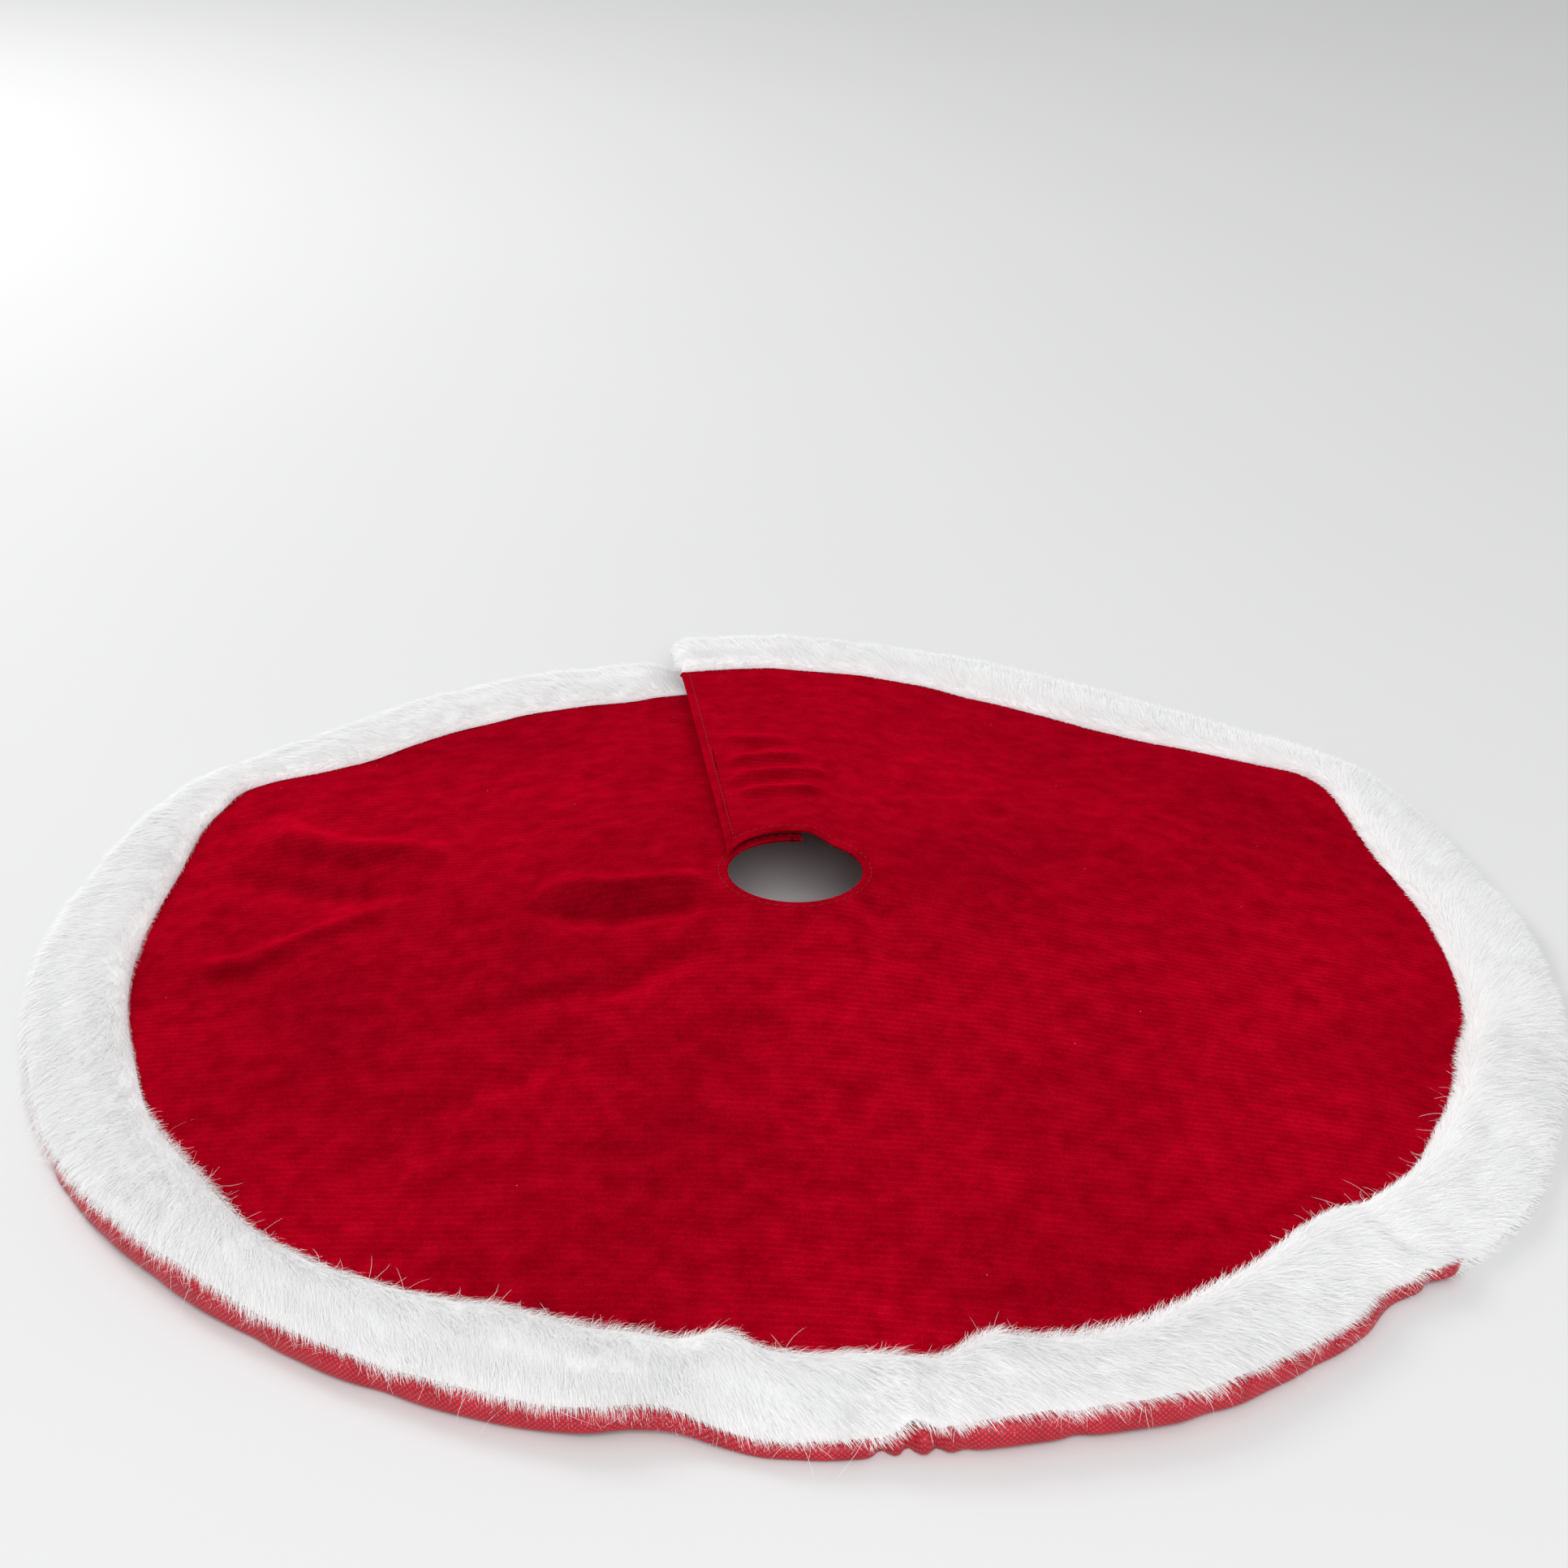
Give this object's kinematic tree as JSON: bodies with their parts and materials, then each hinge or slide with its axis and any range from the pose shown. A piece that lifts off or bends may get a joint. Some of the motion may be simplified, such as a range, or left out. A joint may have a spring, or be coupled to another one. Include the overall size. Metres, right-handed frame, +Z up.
{
  "type": "tree skirt",
  "caption": "Round red velvet skirt for a table-top tree, with a white fur band, a red woven lining, and a back slit whose flap laps over and fastens with hook-and-loop tabs.",
  "frame": {"origin": "on the table, below the middle of the trunk hole", "axes": "+Z up, away from the table; +Y towards the slit at the back; +X to the right seen from the front"},
  "size_m": [0.5078, 0.5077, 0.0417],
  "materials": {
    "velvet": "short pile velvet, soft sheen, faint knit courses",
    "fur": "long soft white pile",
    "lining": "plain-woven satin-like lining",
    "red_thread": "polyester sewing thread",
    "white_thread": "polyester sewing thread",
    "hook_tape": "hook tape with fine hooks",
    "loop_tape": "brushed loop tape",
    "label": "plain woven ribbon, no print"
  },
  "bodies": {
    "skirt": {"velvet_skirt": "velvet", "lining_skirt": "lining", "fur_band_skirt": "fur", "hole_stitching_skirt": "red_thread", "band_seam_skirt": "white_thread", "rim_seam_skirt": "red_thread", "slit_stitching_skirt": "red_thread", "loop_tab_inner": "loop_tape", "loop_tab_stitching_inner": "red_thread", "loop_tab_outer": "loop_tape", "loop_tab_stitching_outer": "red_thread", "care_label": "label"},
    "flap": {"velvet_flap": "velvet", "lining_flap": "lining", "fur_band_flap": "fur", "hole_stitching_flap": "red_thread", "band_seam_flap": "white_thread", "rim_seam_flap": "red_thread", "slit_stitching_flap": "red_thread", "hook_tab_inner": "hook_tape", "hook_tab_stitching_inner": "red_thread", "hook_tab_outer": "hook_tape", "hook_tab_stitching_outer": "red_thread"}
  },
  "joints": [
    {"name": "flap_lift", "type": "hinge", "parent": "skirt", "child": "flap", "pos_m": [0.06913, 0.11973, 0.028], "axis": [0.498, 0.8625, -0.0903], "range_deg": [0, 140]}
  ]
}
